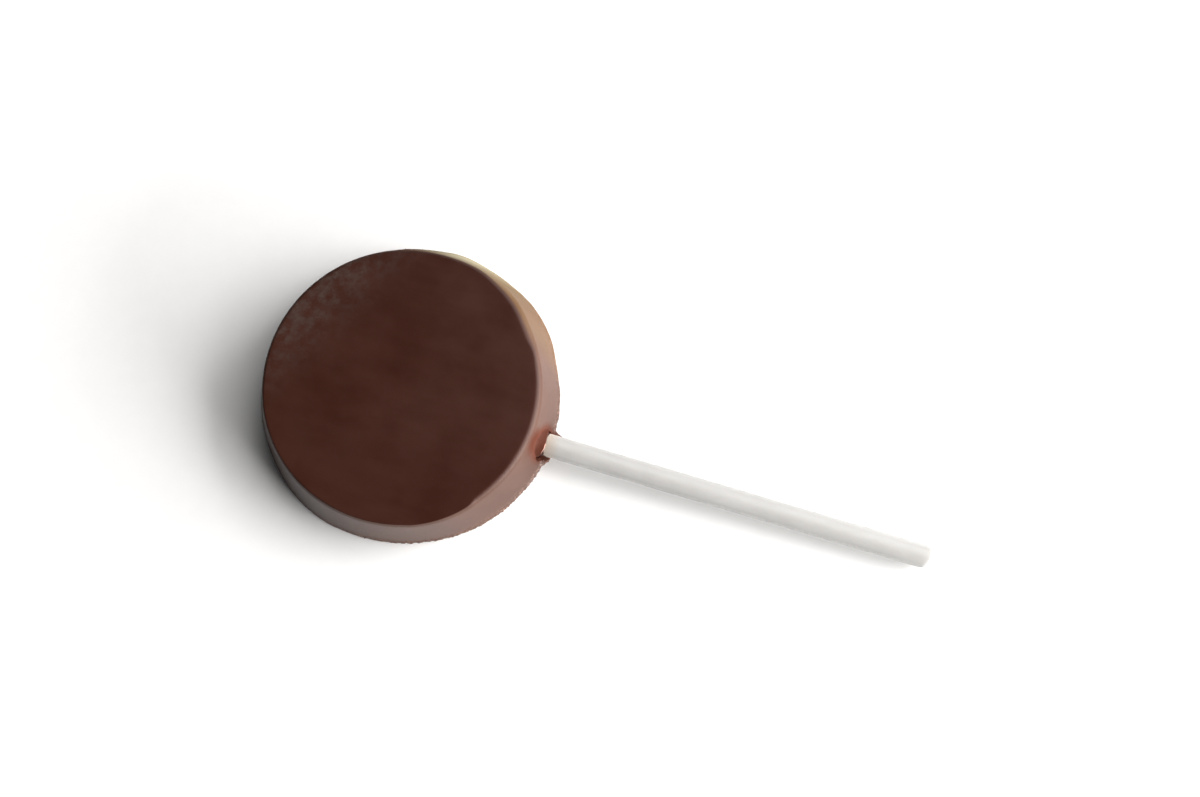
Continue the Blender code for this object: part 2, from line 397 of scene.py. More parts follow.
def stickTree(settings):
    tree, given = startTree(
        "rolled paper stick",
        {
            "Base Radius": "Float",
            "Top Radius": "Float",
            "Height": "Float",
            "Top Rounding": "Float",
            "Base Rounding": "Float",
            "Columns": "Int",
            "Rows": "Int",
            "Paper Thickness": "Float",
            "Seam Side": "Float",
            "Groove Depth": "Float",
            "Dent Depth": "Float",
            "Frayed Depth": "Float",
            "Near Snip": "Float",
            "Far Snip": "Float",
            "Inner End": "Vector",
            "Tilt": "Rotation",
            "Seed": "Float",
            "Material": "Material",
        },
    )
    curve, openLength = turnedProfile(tree, given)
    grid, across, along = turnedGrid(tree, given)
    edgeStart = subtract(tree, given["Top Radius"], settings["bandInside"])
    edgeEnd = add(tree, given["Top Radius"], settings["bandOutside"])
    length = pace(tree, along, settings["rowShares"], (edgeStart, edgeEnd, openLength))
    radius, height = samplePoint(tree, curve, length)

    # The last column closes the step where the outer turn of paper ends
    lastGap = divide(tree, 1.0, subtract(tree, given["Columns"], 1.0))
    turn = remap(tree, across, 0.0, subtract(tree, 1.0, lastGap), curve="LINEAR")
    beforeLast = subtract(tree, 1.0, multiply(tree, lastGap, 0.5))
    rolled = multiply(tree, turn, calc(tree, "LESS_THAN", across, beforeLast))
    angle = add(tree, given["Seam Side"], multiply(tree, turn, 2 * math.pi))
    paperShare = divide(tree, given["Paper Thickness"], given["Top Radius"])
    thinner = subtract(tree, 1.0, multiply(tree, rolled, paperShare))

    # Turns of paper seen on the free end, as a fine spiral groove
    inward = divide(tree, subtract(tree, given["Top Radius"], radius), given["Paper Thickness"])
    layers = calc(tree, "FRACT", add(tree, inward, subtract(tree, 1.0, turn)))
    groove = remap(tree, calc(tree, "ABSOLUTE", add(tree, layers, -0.5)), *settings["grooveEdges"])
    onEnd = remap(tree, height, subtract(tree, given["Height"], settings["endSkin"]), given["Height"])
    notMiddle = remap(tree, radius, *settings["grooveFrom"])
    sunk = multiply(tree, groove, onEnd, notMiddle, given["Groove Depth"])
    body = placeOnCircle(
        tree, grid, multiply(tree, radius, thinner), subtract(tree, height, sunk), angle
    )

    # Soft dents along the side, and a worn far edge
    position, x, y, z, away = measurePoints(tree)
    stretched = combine(tree, x, y, multiply(tree, z, settings["dentStretch"]))
    dentNoise = noise(tree, stretched, settings["dentSize"], given["Seed"], 2.0)
    dent = multiply(tree, dentNoise, given["Dent Depth"])
    frayNoise = noise(tree, position, settings["fraySize"], given["Seed"], 3.0)
    frayStart = multiply(tree, given["Top Radius"], settings["frayInside"])
    farEdge = multiply(
        tree,
        remap(tree, z, subtract(tree, given["Height"], settings["frayLength"]), given["Height"]),
        remap(tree, away, frayStart, given["Top Radius"]),
    )
    frayed = multiply(tree, farEdge, given["Frayed Depth"], frayNoise)
    sideways = multiply(
        tree,
        divide(tree, add(tree, dent, frayed), away),
        remap(tree, away, 0.0, given["Top Radius"]),
        -1.0,
    )

    # The far end is snipped off at a slant on both sides
    lastBit = subtract(tree, given["Height"], settings["snipLength"])
    nearEdge = multiply(tree, given["Top Radius"], -1.0)
    nearCut = multiply(tree, remap(tree, y, nearEdge, 0.0, 1.0, 0.0, "LINEAR"), given["Near Snip"])
    farCut = multiply(tree, remap(tree, y, 0.0, given["Top Radius"], curve="LINEAR"), given["Far Snip"])
    snipShare = remap(tree, z, lastBit, given["Height"], curve="LINEAR")
    snipped = multiply(tree, snipShare, add(tree, nearCut, farCut))
    offset = combine(
        tree,
        multiply(tree, x, sideways),
        multiply(tree, y, sideways),
        multiply(tree, add(tree, frayed, snipped), -1.0),
    )
    body = shiftPoints(tree, body, offset)
    smoothed = addNode(tree, "GeometryNodeSetShadeSmooth", body).outputs[0]
    bend = tree.nodes.new("GeometryNodeInputMeshEdgeAngle").outputs[0]
    sharp = addNode(tree, "GeometryNodeSetShadeSmooth", smoothed, domain="EDGE")
    connect(tree, sharp.inputs["Selection"], calc(tree, "GREATER_THAN", bend, settings["sharpBend"]))
    connect(tree, sharp.inputs["Shade Smooth"], False)
    laid = addNode(tree, "GeometryNodeTransform", sharp.outputs[0])
    connect(tree, laid.inputs["Translation"], given["Inner End"])
    connect(tree, laid.inputs["Rotation"], given["Tilt"])
    endTree(tree, laid.outputs[0], given["Material"])
    return tree


def crumbTree(settings):
    tree, given = startTree(
        "loose crumbs on the poured edge",
        {
            "Crumbs Per Square Metre": "Float",
            "Smallest": "Float",
            "Largest": "Float",
            "Reach": "Float",
            "Inside Edge": "Float",
            "Crumb Side": "Float",
            "Seed": "Int",
            "Material": "Material",
        },
        takesMesh=True,
    )
    x, y, z, away = measurePoints(tree)[1:]
    towardCrumbs = towardSide(tree, x, y, away, given["Crumb Side"])
    chance = multiply(
        tree,
        remap(tree, towardCrumbs, *settings["spread"], settings["least"], 1.0),
        fade(tree, z, 0.0, given["Reach"]),
        calc(tree, "GREATER_THAN", z, given["Largest"]),
        calc(tree, "GREATER_THAN", away, given["Inside Edge"]),
        given["Crumbs Per Square Metre"],
    )
    scattered = addNode(tree, "GeometryNodeDistributePointsOnFaces", given["Mesh"])
    connect(tree, scattered.inputs["Density"], chance)
    connect(tree, scattered.inputs["Seed"], given["Seed"])
    lump = addNode(tree, "GeometryNodeMeshIcoSphere", 1.0, 1).outputs[0]

    def randomVector(low, high, step):
        made = addNode(tree, "FunctionNodeRandomValue", data_type="FLOAT_VECTOR")
        connect(tree, made.inputs[0], low)
        connect(tree, made.inputs[1], high)
        connect(tree, made.inputs["Seed"], add(tree, given["Seed"], step))
        return made.outputs[0]

    small = combine(tree, given["Smallest"], given["Smallest"], given["Smallest"])
    large = combine(tree, given["Largest"], given["Largest"], given["Largest"])
    placed = addNode(tree, "GeometryNodeInstanceOnPoints", scattered.outputs["Points"])
    connect(tree, placed.inputs["Instance"], lump)
    connect(tree, placed.inputs["Scale"], randomVector(small, large, 1.0))
    turned = addNode(tree, "GeometryNodeRotateInstances", placed.outputs[0])
    mostTurn = (settings["mostTurn"],) * 3
    connect(tree, turned.inputs["Rotation"], randomVector((0.0, 0.0, 0.0), mostTurn, 2.0))
    endTree(tree, turned.outputs[0], given["Material"])
    return tree


# Finishes
def startFinish(name):
    material = bpy.data.materials.new(name)
    material.use_nodes = True
    tree = material.node_tree
    shader = tree.nodes["Principled BSDF"]
    coords = tree.nodes.new("ShaderNodeTexCoord").outputs["Object"]
    return material, tree, shader, coords


def addBump(tree, shader, height, strength, distance):
    bump = addNode(tree, "ShaderNodeBump")
    connect(tree, bump.inputs["Strength"], strength)
    connect(tree, bump.inputs["Distance"], distance)
    connect(tree, bump.inputs["Height"], height)
    tree.links.new(bump.outputs[0], shader.inputs["Normal"])


def facing(tree, x, y, side):
    # How far a point lies towards one side of the disc, from -1 to 1 at the base edge
    return multiply(
        tree,
        add(tree, multiply(tree, x, math.cos(side)), multiply(tree, y, math.sin(side))),
        1 / baseRadius,
    )


chocolateLook = {
    "topDark": (0.0275, 0.0066, 0.0032, 1.0),
    "topLight": (0.042, 0.0130, 0.0076, 1.0),
    "wallDark": (0.047, 0.0195, 0.0125, 1.0),
    "wallLight": (0.066, 0.030, 0.0195, 1.0),
    "cloudSize": 14.0 * mm,
    "streakSize": 4.0 * mm,
    "streakTurn": math.radians(-20),
    "streakStretch": (0.35, 1.3, 1.0),
    "fineSize": 0.5 * mm,
    "mottleShares": (0.62, 0.28, 0.1),
    "dusty": (0.070, 0.052, 0.046, 1.0),
    "dustySide": math.radians(152),
    "dustyReach": (0.42, 0.93),
    "dustySize": 1.6 * mm,
    "dustyShare": 0.6,
    # Painted reflection: a warm tan tint on the far wall, standing in for warm light mirrored there at a
    # grazing angle
    "tan": (0.295, 0.262, 0.182, 1.0),
    "tanSide": math.radians(95),
    "tanReach": (0.28, 0.94),
    "tanCurve": 6.0,
    "tanTrace": 0.04,
    "tanTraceReach": (0.4, 0.55),
    "tanSeenTurn": math.radians(65),
    "tanSeen": (0.1, 0.6),
    # Painted reflection: the golden tint beside the tan one
    "goldReflection": (0.095, 0.050, 0.022, 1.0),
    "goldSide": math.radians(56),
    "goldReach": (0.78, 0.92),
    "goldReflectionShare": 0.7,
    # Painted shade: the redder patch above the stick, where the stick blocks the table's reflection
    "redShadePatch": (0.054, 0.0145, 0.0070, 1.0),
    "redShadePatchPlace": Vector((23.3, -2.6, 5.7)) * mm,
    "redShadePatchReach": (1.0 * mm, 3.2 * mm),
    # Painted shade: redder right beside the stick, in the recess where the wall meets it
    "entryRedShade": (0.066, 0.0180, 0.0095, 1.0),
    "entryReach": (0.4 * mm, 2.1 * mm),
    "entryFrom": (22.0 * mm, 23.0 * mm),
    # Painted highlight on the collar's thin lip
    "lipHighlightColour": (0.480, 0.250, 0.200, 1.0),
    "crumbLight": (0.340, 0.215, 0.165, 1.0),
    "crumbLine": (0.25 * mm, 2.2 * mm),
    "speckSize": 0.32 * mm,
    "speckShare": 0.6,
    "topEdge": (0.34 * mm, 0.03 * mm),
    "cornerStart": (1.3 * mm, 0.6 * mm),
    "cornerEnd": (0.12 * mm, 0.01 * mm),
    "topRoughness": (0.34, 0.44),
    "wallRoughness": (0.32, 0.37),
    "moreRough": {"corner": 0.22, "crumbLine": 0.2, "shadePatch": 0.25},
    "topShine": 0.32,
    "wallShine": 0.36,
    "lessShine": {"corner": 0.16, "shadePatch": 0.25, "tan": 0.36},
    "tanDullReach": (0.1, 0.8),
    "grainSize": 0.28 * mm,
    "rippleSize": 2.2 * mm,
    "rippleShare": 2.0,
    "bumpStrength": 0.25,
    "bumpDepth": 0.02 * mm,
}


def belowTop(depths):
    return [discHeight - depth for depth in depths]


def chocolateFinish(look):
    material, tree, shader, coords = startFinish("moulded chocolate")
    x, y, z = split(tree, coords)
    onTop = remap(tree, z, *belowTop(look["topEdge"]))

    cloud = noise(tree, coords, look["cloudSize"], 1.0, 4.0, 0.6)
    wiped = addNode(tree, "ShaderNodeMapping", coords)
    wiped.inputs["Rotation"].default_value = (0.0, 0.0, look["streakTurn"])
    wiped.inputs["Scale"].default_value = look["streakStretch"]
    streaks = noise(tree, wiped.outputs[0], look["streakSize"], 2.0, 3.0, 0.6)
    fine = noise(tree, coords, look["fineSize"], 3.0, 2.0, 0.7)
    cloudShare, streakShare, fineShare = look["mottleShares"]
    mottle = add(
        tree,
        multiply(tree, remap(tree, cloud, 0.34, 0.66), cloudShare),
        multiply(tree, remap(tree, streaks, 0.3, 0.7), streakShare),
        multiply(tree, fine, fineShare),
    )
    top = mixColour(tree, mottle, look["topDark"], look["topLight"])
    wall = mixColour(tree, mottle, look["wallDark"], look["wallLight"])

    # Rubbed dusty film on one side of the moulded face
    dustEdge = remap(tree, facing(tree, x, y, look["dustySide"]), *look["dustyReach"])
    dustBreaks = remap(tree, noise(tree, coords, look["dustySize"], 4.0, 5.0, 0.75), 0.38, 0.68)
    dust = multiply(tree, dustEdge, dustBreaks, look["dustyShare"])
    top = mixColour(tree, dust, top, look["dusty"])

    # Painted reflection: a warm tan tint on the far side of the wall, no further round than it is seen,
    # and a more golden one beside it, both standing in for warm light mirrored at a grazing angle
    towardTanReflection = facing(tree, x, y, look["tanSide"])
    tanAcross = remap(tree, towardTanReflection, *look["tanReach"], curve="LINEAR")
    tanRise = calc(tree, "POWER", tanAcross, look["tanCurve"])
    tanTrace = remap(tree, towardTanReflection, *look["tanTraceReach"], 0.0, look["tanTrace"])
    towardSeen = facing(tree, x, y, look["tanSide"] - look["tanSeenTurn"])
    tanReflectionShare = multiply(tree, larger(tree, tanRise, tanTrace), remap(tree, towardSeen, *look["tanSeen"]))
    towardGoldReflection = facing(tree, x, y, look["goldSide"])
    goldReflectionShare = remap(tree, towardGoldReflection, *look["goldReach"], 0.0, look["goldReflectionShare"])
    wall = mixColour(tree, goldReflectionShare, wall, look["goldReflection"])
    wall = mixColour(tree, tanReflectionShare, wall, look["tan"])

    # Painted shade: a redder, duller patch on the wall above the stick, where the stick blocks the
    # table's reflection
    fromShadePatch = addNode(
        tree, "ShaderNodeVectorMath", coords, look["redShadePatchPlace"], operation="DISTANCE"
    ).outputs["Value"]
    shadePatch = fade(tree, fromShadePatch, *look["redShadePatchReach"])
    wall = mixColour(tree, shadePatch, wall, look["redShadePatch"])

    # Painted shade: redder and duller right beside the stick, in the recess where the wall meets it,
    # with a painted highlight on the thin lip
    axis = add(tree, multiply(tree, x, -stickFall), axisHeight(0.0))
    fromAxis = diagonal(tree, add(tree, y, -stickSideStep), subtract(tree, z, axis))
    entryShade = multiply(
        tree,
        fade(tree, fromAxis, *(stickRadius + reach for reach in look["entryReach"])),
        remap(tree, x, *look["entryFrom"]),
    )
    wall = mixColour(tree, entryShade, wall, look["entryRedShade"])
    # Painted highlight on the lip's crest
    lipHighlightShare = addNode(tree, "ShaderNodeAttribute", attribute_name="lipHighlight").outputs["Fac"]
    wall = mixColour(tree, lipHighlightShare, wall, look["lipHighlightColour"])
    shadePatch = larger(tree, shadePatch, entryShade)

    base = mixColour(tree, onTop, wall, top)

    # The edge of the poured side, with pale broken specks
    low = fade(tree, z, *look["crumbLine"])
    speck = remap(tree, noise(tree, coords, look["speckSize"], 5.0, 2.0, 0.6), 0.52, 0.66)
    base = mixColour(tree, multiply(tree, low, speck, look["speckShare"]), base, look["crumbLight"])
    tree.links.new(base, shader.inputs["Base Color"])

    # Rougher and less shiny where it is rubbed, broken or red
    topRough = remap(tree, add(tree, mottle, dust), 0.0, 1.4, *look["topRoughness"])
    wallRough = remap(tree, fine, 0.3, 0.7, *look["wallRoughness"])
    cornerShare = multiply(
        tree,
        remap(tree, z, *belowTop(look["cornerStart"])),
        fade(tree, z, *belowTop(look["cornerEnd"])),
    )
    moreRough = look["moreRough"]
    rough = add(
        tree,
        multiply(tree, cornerShare, moreRough["corner"]),
        multiply(tree, topRough, onTop),
        multiply(tree, wallRough, subtract(tree, 1.0, onTop)),
        multiply(tree, low, moreRough["crumbLine"]),
        multiply(tree, shadePatch, moreRough["shadePatch"]),
    )
    tree.links.new(rough, shader.inputs["Roughness"])
    lessShine = look["lessShine"]
    tanDull = remap(tree, towardTanReflection, *look["tanDullReach"], 0.0, lessShine["tan"])
    duller = larger(tree, multiply(tree, shadePatch, lessShine["shadePatch"]), tanDull)
    duller = larger(tree, duller, multiply(tree, cornerShare, lessShine["corner"]))
    wallShine = larger(tree, subtract(tree, look["wallShine"], duller), 0.0)
    shine = addNode(tree, "ShaderNodeMix", onTop, data_type="FLOAT")
    connect(tree, shine.inputs[2], wallShine)
    connect(tree, shine.inputs[3], look["topShine"])
    shader.inputs["Specular IOR Level"].default_value = look["topShine"]
    tree.links.new(shine.outputs[0], shader.inputs["Specular IOR Level"])
    grain = add(
        tree,
        multiply(tree, noise(tree, coords, look["grainSize"], 6.0, 3.0, 0.6), onTop),
        multiply(tree, noise(tree, coords, look["rippleSize"], 7.0, 2.0), look["rippleShare"]),
    )
    addBump(tree, shader, grain, look["bumpStrength"], look["bumpDepth"])
    return material


def crumbFinish(look):
    material, tree, shader, coords = startFinish("chocolate crumbs")
    share = remap(tree, noise(tree, coords, look["paleSize"], 8.0, 1.0), 0.38, 0.62)
    base = mixColour(tree, share, chocolateLook["wallDark"], chocolateLook["crumbLight"])
    tree.links.new(base, shader.inputs["Base Color"])
    shader.inputs["Roughness"].default_value = look["roughness"]
    addBump(tree, shader, noise(tree, coords, look["grainSize"], 9.0), 0.4, look["bumpDepth"])
    return material


paperLook = {
    "light": (0.46, 0.453, 0.443, 1.0),
    "dark": (0.41, 0.402, 0.390, 1.0),
    # Painted shade: greyer towards both sides of the roll
    "side": (0.310, 0.306, 0.299, 1.0),
    "farShadeAcross": (0.1, 0.9),
    "nearShadeAcross": (-1.0, -0.5),
    "stretch": (0.3, 1.0, 1.0),
    "fibreSize": 0.22 * mm,
    "cloudSize": 1.6 * mm,
    "cloudShare": 0.6,
    "stained": (0.37, 0.29, 0.215, 1.0),
    "stainFrom": discHigh.x + 0.6 * mm,
    "stainTo": baseRadius - 0.6 * mm,
    "stainWander": 1.6 * mm,
    "stainShare": 0.7,
    # A dark film of chocolate at the collar, with painted shade where it reaches further out on the near
    # side
    "filmAndShade": (0.060, 0.022, 0.016, 1.0),
    "filmEnd": 24.55 * mm,
    "filmSides": 0.3 * mm,
    "filmNearShade": 0.75 * mm,
    "filmNearShadeFrom": (-0.99, -0.86),
    "filmEdge": (-0.12 * mm, 0.06 * mm),
    "roughness": (0.72, 0.92),
    "shine": 0.35,
    "scatter": 2.4 * mm,
    "bumpStrength": 0.5,
    "bumpDepth": 0.03 * mm,
}


def paperFinish(look):
    material, tree, shader, coords = startFinish("rolled white paper")
    x, y, z = split(tree, coords)
    along = addNode(tree, "ShaderNodeMapping", coords)
    along.inputs["Scale"].default_value = look["stretch"]
    fibres = noise(tree, along.outputs[0], look["fibreSize"], 1.0, 3.0, 0.65)
    cloud = noise(tree, along.outputs[0], look["cloudSize"], 2.0, 3.0, 0.6)
    tone = add(
        tree,
        multiply(tree, remap(tree, cloud, 0.3, 0.7), look["cloudShare"]),
        multiply(tree, remap(tree, fibres, 0.3, 0.7), 1.0 - look["cloudShare"]),
    )
    base = mixColour(tree, tone, look["dark"], look["light"])

    # Painted shade: a little greyer towards both sides of the roll
    across = divide(tree, add(tree, y, -stickSideStep), stickRadius)
    farShade = remap(tree, across, *look["farShadeAcross"])
    nearShade = fade(tree, across, *look["nearShadeAcross"])
    base = mixColour(tree, larger(tree, farShade, nearShade), base, look["side"])

    # Stained by the chocolate where it goes in
    stainEdge = add(tree, x, multiply(tree, add(tree, cloud, -0.5), look["stainWander"]))
    stain = multiply(tree, fade(tree, stainEdge, look["stainTo"], look["stainFrom"]), look["stainShare"])
    base = mixColour(tree, stain, base, look["stained"])

    # A dark film of chocolate at the collar, and painted shade of the recess where it reaches further
    # out on the near side
    nearShadeFilm = remap(tree, across, *look["filmNearShadeFrom"], look["filmNearShade"], 0.0)
    edge = add(tree, look["filmEnd"], multiply(tree, across, across, look["filmSides"]), nearShadeFilm)
    filmAndShade = fade(tree, subtract(tree, x, edge), *look["filmEdge"])
    base = mixColour(tree, filmAndShade, base, look["filmAndShade"])
    tree.links.new(base, shader.inputs["Base Color"])
    tree.links.new(remap(tree, fibres, 0.2, 0.8, *look["roughness"]), shader.inputs["Roughness"])
    shader.inputs["Specular IOR Level"].default_value = look["shine"]
    shader.inputs["Subsurface Weight"].default_value = 1.0
    shader.inputs["Subsurface Radius"].default_value = (1.0, 1.0, 1.0)
    shader.inputs["Subsurface Scale"].default_value = look["scatter"]
    grain = add(tree, fibres, multiply(tree, cloud, 1.5))
    addBump(tree, shader, grain, look["bumpStrength"], look["bumpDepth"])
    return material


# Chocolate disc
disc = {
    "baseRadius": baseRadius + 0.1 * mm,
    "topRadius": baseRadius * 0.896,
    "topRounding": 1.7 * mm,
    "baseRounding": 0.2 * mm,
    "columns": 580,
    "rows": 165,
    "firstAngle": -100.0,
    "columnStops": (83.0, 107.0, 360.0),
    "columnShares": (0.45, 0.71, 1.0),
    "rowShares": (0.15, 0.915, 1.0),
    "rimBand": 1.2 * mm,
    "underBand": 1.0 * mm,
    "wearReach": (1.0 * mm, 3.2 * mm),
    "edgeWear": (
        (0, 0.13), (54, 0.13), (61, 0.62), (80, 0.7), (124, 0.7), (129, 0.56), (138, 0.95),
        (160, 0.85), (185, 0.45), (290, 0.35), (315, 0.2), (360, 0.2),
    ),
    "topDrift": (
        (0, 0.36), (14, 0.45), (28, 0.6), (40, 0.8), (56, 0.7), (68, 0.5), (120, 0.5), (134, 0.4),
        (148, 0.72), (165, 0.92), (178, 0.76), (200, 0.5), (300, 0.5), (330, 0.42), (360, 0.36),
    ),
    "rimDrift": (
        (0, 0.64), (8, 0.54), (25, 0.42), (45, 0.56), (60, 0.72), (82, 0.78), (98, 0.7), (115, 0.66),
        (124, 0.4), (143, 0.76), (158, 0.56), (173, 0.36), (188, 0.6), (198, 0.4), (215, 0.5),
        (320, 0.5), (345, 0.8), (354, 0.78), (360, 0.64),
    ),
    "driftDepth": 1.0 * mm,
    "driftReach": 7.0 * mm,
    "waveSize": 9.0 * mm,
    "topDip": 0.05 * mm,
    "topSkin": 0.1 * mm,
    "wallWave": 0.12 * mm,
    "sideFade": 1.0 * mm,
    "undersideDip": 0.08 * mm,
    "underSkin": 0.05 * mm,
    "faceFade": 4.0 * mm,
    "crumbDepth": 0.24 * mm,
    "crumbSize": 0.6 * mm,
    "crumbReach": 1.6 * mm,
    "crumbBand": 2.4 * mm,
    "crumbGain": 4.0,
    "crumbSide": math.radians(-33),
    "crumbSpread": (0.45, 0.94),
    "crumbLeast": 0.25,
    "seed": 3.0,
}

mouldedChocolate = chocolateFinish(chocolateLook)
chocolate = growMesh(
    "chocolate_disc",
    discTree(disc),
    {
        "Base Radius": disc["baseRadius"],
        "Top Radius": disc["topRadius"],
        "Height": discHeight,
        "Top Rounding": disc["topRounding"],
        "Base Rounding": disc["baseRounding"],
        "Columns": disc["columns"],
        "Rows": disc["rows"],
        "First Angle": math.radians(disc["firstAngle"]),
        "Drift": disc["driftDepth"],
        "Top Dip": disc["topDip"],
        "Wall Wave": disc["wallWave"],
        "Underside Dip": disc["undersideDip"],
        "Crumb Depth": disc["crumbDepth"],
        "Crumb Size": disc["crumbSize"],
        "Crumb Reach": disc["crumbReach"],
        "Crumb Side": disc["crumbSide"],
        "Seed": disc["seed"],
        "Material": mouldedChocolate,
    },
)

# Where the stick goes in: a thin web of chocolate at the table on both sides, and an open gap
# in the wall, its width in mm given at turns in degrees from the far side over the top
web = {
    "farReach": 1.4 * mm,
    "nearReach": 0.8 * mm,
    "clear": 0.25 * mm,
    "farWidth": 1.0 * mm,
    "nearWidth": 1.8 * mm,
    "thickness": 0.7 * mm,
    "fade": 0.5 * mm,
    "outerShare": (0.93, 0.98),
    "wallShare": (0.9, 0.92),
    "gapTurn": (0, 162, 178, 200, 220, 245, 360),
    "gapWidth": (0.0, 0.0, 0.5, 0.7, 0.6, 0.0, 0.0),
    "gapDepth": 0.7 * mm,
    "gapEdge": 0.4 * mm,
    "leastGap": 0.05 * mm,
}


def smoothStep(value, low, high):
    share = np.clip((value - low) / (high - low), 0.0, 1.0)
    return share * share * (3.0 - 2.0 * share)


def shapeStickEntry(piece):
    mesh = piece.data
    points = np.empty(len(mesh.vertices) * 3)
    mesh.vertices.foreach_get("co", points)
    points = points.reshape(-1, 3)
    x, y, z = points.T
    onFarSide = y > stickSideStep
    across = np.abs(y - stickSideStep)
    fromMiddle = np.hypot(x, y) / baseRadius
    outer = smoothStep(fromMiddle, *web["outerShare"]) * (x > 0)
    width = np.where(onFarSide, web["farWidth"], web["nearWidth"])
    beyond = np.clip((across - stickRadius - web["clear"]) / width, 0.0, 1.0)
    low = 1.0 - smoothStep(z, web["thickness"], web["thickness"] + web["fade"])
    reach = np.where(onFarSide, web["farReach"], web["nearReach"])
    webShift = reach * (1.0 - beyond) ** 2 * low * outer

    upward = z - axisHeight(x)
    turn = np.degrees(np.arctan2(upward, y - stickSideStep)) % 360.0
    gap = np.interp(turn, web["gapTurn"], web["gapWidth"]) * mm
    fromStick = np.hypot(y - stickSideStep, upward) - stickRadius
    sunk = (1.0 - smoothStep(fromStick, gap, gap + web["gapEdge"])) * (gap > web["leastGap"])
    onWall = (x > 0) * smoothStep(fromMiddle, *web["wallShare"])
    points[:, 0] = x + webShift - web["gapDepth"] * sunk * onWall
    mesh.vertices.foreach_set("co", points.ravel())
    mesh.update()


shapeStickEntry(chocolate)
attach(chocolate, "root")
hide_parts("chocolate")
print("disc made")

# The collar that crept along the stick, as stations round it: turn in degrees from the far side
# over the top, the crest's place along the stick, and the gap, rim and foot widths, all in mm
collar = {
    "turn": (0, 20, 45, 70, 96, 115, 130, 145, 160, 172, 182, 205, 232, 245, 300, 360),
    "crest": (
        24.6, 24.4, 24.45, 24.65, 24.7, 24.65, 24.5, 24.35, 24.25, 23.9, 23.1, 22.9, 23.5, 24.9, 25.2,
        24.6,
    ),
    "gap": (
        0.25, 0.22, 0.15, 0.05, 0.03, 0.03, 0.04, 0.06, 0.1, 0.15, 0.3, 0.3, 0.3, 0.25, 0.2, 0.25,
    ),
    "rim": (
        0.2, 0.16, 0.16, 0.2, 0.22, 0.22, 0.22, 0.2, 0.18, 0.15, 0.15, 0.15, 0.2, 0.3, 0.3, 0.2,
    ),
    "foot": (
        0.4, 0.3, 0.35, 0.5, 0.7, 0.7, 0.55, 0.4, 0.35, 0.3, 0.25, 0.25, 0.3, 0.5, 0.5, 0.4,
    ),
    "stations": 200,
    "rimSteps": 8,
    "footSteps": 9,
    "footCurve": 2.2,
    "footSink": 0.02,
    "buried": 1.3,
    "aboveTable": 0.06,
    "roughness": 0.07,
    "grain": 0.7,
    "seed": 7,
    # Turns and first rim step of the painted highlight on the lip
    "lipHighlightTurn": (92.0, 142.0),
    "firstLipHighlightStep": 3,
}


def wallReach(y, z):
    lean = (disc["baseRadius"] - disc["topRadius"]) / discHeight
    radius = disc["baseRadius"] - lean * np.clip(z, 0.1 * mm, discHeight)
    return np.sqrt(radius**2 - y**2)


def collarSection(turn, settings):
    crest, gap, rim, foot = (
        np.interp(turn, settings["turn"], settings[key]) * mm for key in ("crest", "gap", "rim", "foot")
    )
    angle = math.radians(turn)

    def onWall(distance):
        y = stickSideStep + distance * math.cos(angle)
        z = axisHeight(crest) + distance * math.sin(angle)
        return wallReach(y, z)

    inner = stickRadius + gap
    outer = inner + rim
    section = [(inner, onWall(inner) - settings["buried"] * mm), (inner, onWall(inner))]
    for step in range(settings["rimSteps"] + 1):
        bend = math.pi * step / settings["rimSteps"]
        section.append((inner + rim * (1 - math.cos(bend)) / 2, crest - rim * (1 - math.sin(bend)) / 2))
    edge = section[-1][1]
    for step in range(1, settings["footSteps"] + 1):
        share = step / settings["footSteps"]
        distance = outer + foot * share
        rise = (edge - onWall(outer)) * (1 - share) ** settings["footCurve"]
        section.append((distance, onWall(distance) + rise - settings["footSink"] * mm * share))
    section.append((outer + foot, onWall(outer + foot) - settings["buried"] * mm))
    return [
        (x, stickSideStep + away * math.cos(angle), away * math.sin(angle)) for away, x in section
    ]


def makeCollar(settings, material):
    seedNoise(settings["seed"])
    shape = bmesh.new()
    # Painted highlight: marks the lip's crest, which the finish paints lighter
    lipHighlight = shape.verts.layers.float.new("lipHighlight")
    lipHighlightSteps = range(settings["firstLipHighlightStep"], settings["rimSteps"] + 1)
    highlightFrom, highlightTo = settings["lipHighlightTurn"]
    rings = []
    for station in range(settings["stations"]):
        ring = []
        turn = 360.0 * station / settings["stations"]
        section = collarSection(turn, settings)
        for step, (x, y, up) in enumerate(section):
            z = axisHeight(x) + up
            spot = Vector((x, y, max(z, settings["aboveTable"] * mm)))
            if x > wallReach(y, z):
                grain = noiseVector(spot / (settings["grain"] * mm)) * settings["roughness"] * mm
                spot += Vector((grain.x, grain.y * 0.5, 0.0))
            point = shape.verts.new(spot)
            point[lipHighlight] = step in lipHighlightSteps and highlightFrom < turn < highlightTo
            ring.append(point)
        rings.append(ring)
    for number, ring in enumerate(rings):
        following = rings[(number + 1) % len(rings)]
        for step in range(len(ring)):
            after = (step + 1) % len(ring)
            shape.faces.new((ring[step], ring[after], following[after], following[step]))
    bmesh.ops.recalc_face_normals(shape, faces=shape.faces)
    mesh = bpy.data.meshes.new("chocolate_collar")
    shape.to_mesh(mesh)
    shape.free()
    mesh.shade_smooth()
    mesh.materials.append(material)
    piece = bpy.data.objects.new("chocolate_collar", mesh)
    bpy.context.scene.collection.objects.link(piece)
    return piece


chocolateCollar = makeCollar(collar, mouldedChocolate)
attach(chocolateCollar, "root")
print("collar made")

